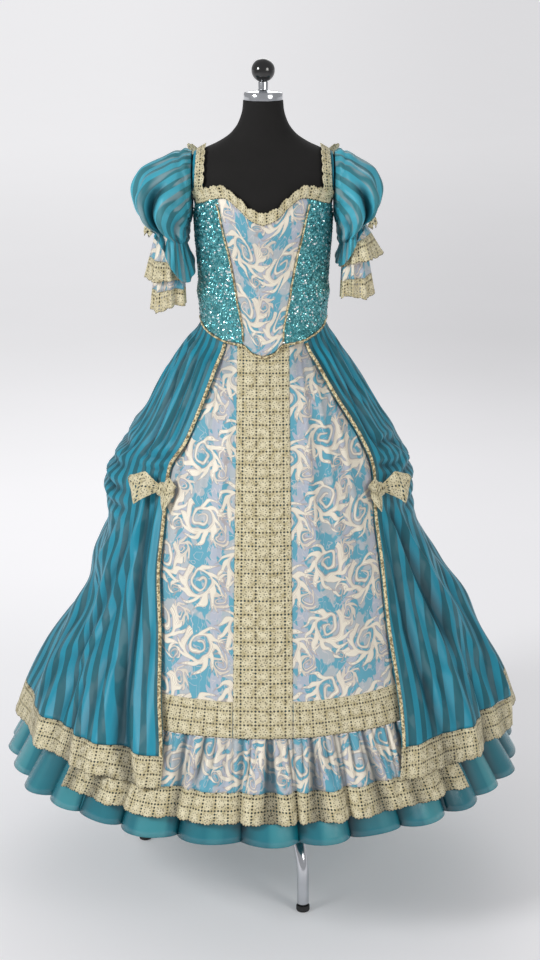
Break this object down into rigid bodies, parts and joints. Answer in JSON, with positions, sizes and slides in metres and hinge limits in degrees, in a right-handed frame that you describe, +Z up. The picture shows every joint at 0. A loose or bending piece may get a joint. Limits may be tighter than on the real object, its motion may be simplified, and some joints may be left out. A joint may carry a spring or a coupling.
{
  "type": "rococo gown on a dress form",
  "caption": "Rococo gown with puffed sleeves, a boned bodice, an open overskirt and frilled petticoats, worn by a limbless dress form on a tripod stand.",
  "frame": {"origin": "on the floor, under the middle of the whole outline", "axes": "+Z up, -Y towards the gown's front, +X towards the viewer's right"},
  "size_m": [1.1282, 1.0964, 1.7806],
  "materials": {
    "satin": "teal satin",
    "organza": "striped teal organza",
    "brocade": "light blue brocade with ivory scrolls",
    "sequins": "teal sequins on net",
    "lace": "gold beige crochet lace",
    "braid": "gold beaded braid",
    "jersey": "black jersey",
    "chrome": "polished",
    "knob": "gloss",
    "rubber": "matt"
  },
  "bodies": {
    "root": {"satin_gore_front": "satin", "satin_gore_right": "satin", "satin_gore_left": "satin", "satin_flounce_front": "satin", "satin_flounce_right": "satin", "satin_flounce_back": "satin", "satin_flounce_left": "satin", "brocade_front": "brocade", "lace_band_centre": "lace", "lace_band_cross_left": "lace", "lace_band_cross_right": "lace", "brocade_flounce": "brocade", "flounce_lace": "lace", "overskirt_right": "organza", "overskirt_lace_right": "lace", "overskirt_back": "organza", "overskirt_lace_back": "lace", "overskirt_left": "organza", "overskirt_lace_left": "lace", "front_braid_right": "braid", "front_braid_left": "braid", "bow_left": "lace", "bow_right": "lace", "stomacher": "brocade", "bodice_front_right": "sequins", "bodice_front_left": "sequins", "bodice_back_right": "sequins", "bodice_back_left": "sequins", "stomacher_braid_left": "braid", "stomacher_braid_right": "braid", "bodice_cord": "braid", "strap_left": "organza", "strap_right": "organza", "neck_lace_front": "lace", "neck_lace_back": "lace", "oversleeve_left": "organza", "frill_upper_left": "brocade", "frill_lace_upper_left": "lace", "frill_lower_left": "brocade", "frill_lace_lower_left": "lace", "sleeve_bow_left": "lace", "oversleeve_right": "organza", "frill_upper_right": "brocade", "frill_lace_upper_right": "lace", "frill_lower_right": "brocade", "frill_lace_lower_right": "lace", "sleeve_bow_right": "lace", "form_torso": "jersey", "neck_cap": "chrome", "ball_knob": "knob", "pole": "chrome", "leg_1": "chrome", "foot_1": "rubber", "leg_2": "chrome", "foot_2": "rubber", "leg_3": "chrome", "foot_3": "rubber"}
  },
  "joints": []
}
